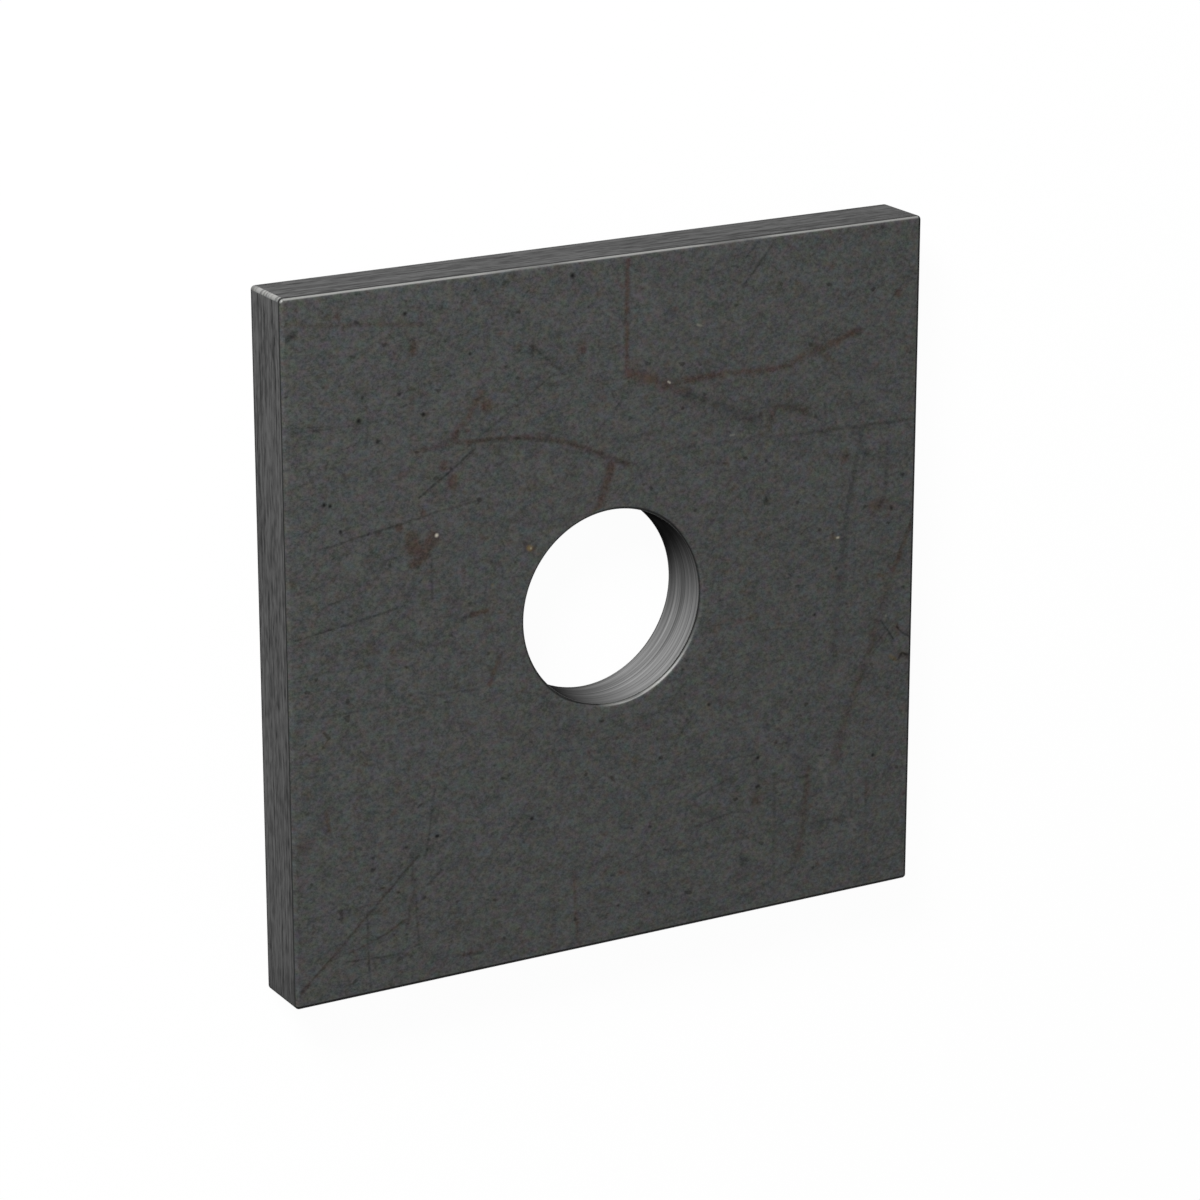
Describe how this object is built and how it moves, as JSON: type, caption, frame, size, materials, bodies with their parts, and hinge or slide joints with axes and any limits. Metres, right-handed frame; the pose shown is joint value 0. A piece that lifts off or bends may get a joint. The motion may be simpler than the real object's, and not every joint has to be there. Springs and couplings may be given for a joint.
{
  "type": "bearing plate",
  "caption": "Square flat steel bearing plate with a central bolt hole and lightly rounded edges, used under a nut or bolt head to spread its load over timber.",
  "frame": {"origin": "on the bolt hole's axis, on the underside that bears on the timber", "axes": "+Z along the bolt hole, out of the face that takes the nut; X and Y along the plate's edges"},
  "size_m": [0.0508, 0.0508, 0.0048],
  "materials": {
    "hot_rolled_steel": "dark mill scale on both faces, cut sides with fine streaks along each edge, lighter punched hole wall, thin rust streaks"
  },
  "bodies": {
    "root": {"bearing_plate": "hot_rolled_steel"}
  },
  "joints": []
}
